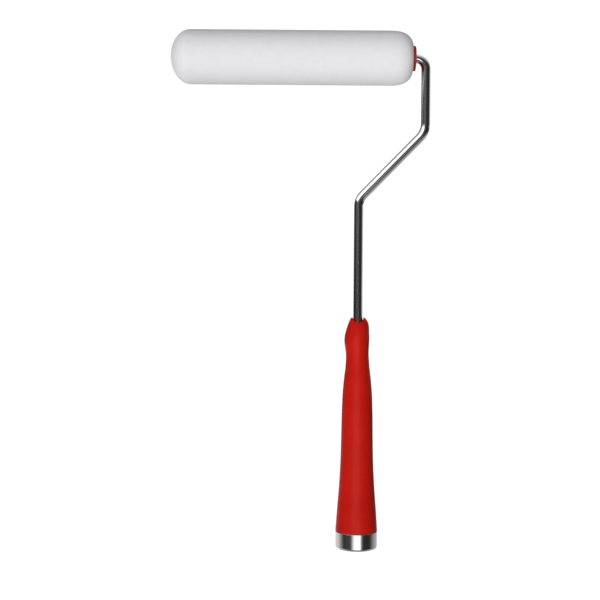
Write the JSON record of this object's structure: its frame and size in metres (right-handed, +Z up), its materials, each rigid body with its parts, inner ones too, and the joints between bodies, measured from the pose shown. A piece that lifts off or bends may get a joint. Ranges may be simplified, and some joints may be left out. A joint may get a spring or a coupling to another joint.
{
  "type": "mini paint roller",
  "caption": "Hand paint roller: a round-ended white foam cover that spins on a wire cage, carried on a cranked chromed rod from a tapered red plastic handle with a chromed end ferrule.",
  "frame": {"origin": "centre of the handle's open end, in the plane of the ferrule's flat lip", "axes": "+Z up the handle's axis towards the roller, +X away from the cover's closed end, along the axle towards the arm, +Y to the back of the view with the arm on the right"},
  "size_m": [0.1689, 0.0352, 0.3356],
  "materials": {
    "rod_chrome": "polished",
    "ferrule_chrome": "polished",
    "grip_red": "satin",
    "cap_red": "satin",
    "plated_steel": "satin",
    "spring_steel": "satin",
    "bushing_nylon": "satin",
    "core_plastic": "satin",
    "foam_white": "matte"
  },
  "bodies": {
    "frame": {"frame_rod": "rod_chrome", "handle_grip": "grip_red", "end_ferrule": "ferrule_chrome", "rod_stop_collar": "plated_steel", "inner_thrust_washer": "plated_steel", "outer_thrust_washer": "plated_steel", "axle_push_nut": "spring_steel"},
    "cage": {"flange_end_cap": "cap_red", "outer_end_cap": "cap_red", "inner_bushing": "bushing_nylon", "outer_bushing": "bushing_nylon", "cage_centre_ring": "bushing_nylon", "cage_wire_1": "spring_steel", "cage_wire_2": "spring_steel", "cage_wire_3": "spring_steel", "cage_wire_4": "spring_steel", "cage_wire_5": "spring_steel"},
    "cover": {"cover_core_tube": "core_plastic", "foam_sleeve": "foam_white", "core_end_plug": "core_plastic"}
  },
  "joints": [
    {"name": "cover_spin", "type": "hinge", "parent": "frame", "child": "cage", "pos_m": [-0.035, 0, 0.318], "axis": [1, 0, 0], "continuous": true},
    {"name": "cover_slide_off", "type": "slide", "parent": "cage", "child": "cover", "axis": [-1, 0, 0], "range_m": [0, 0.15]}
  ]
}
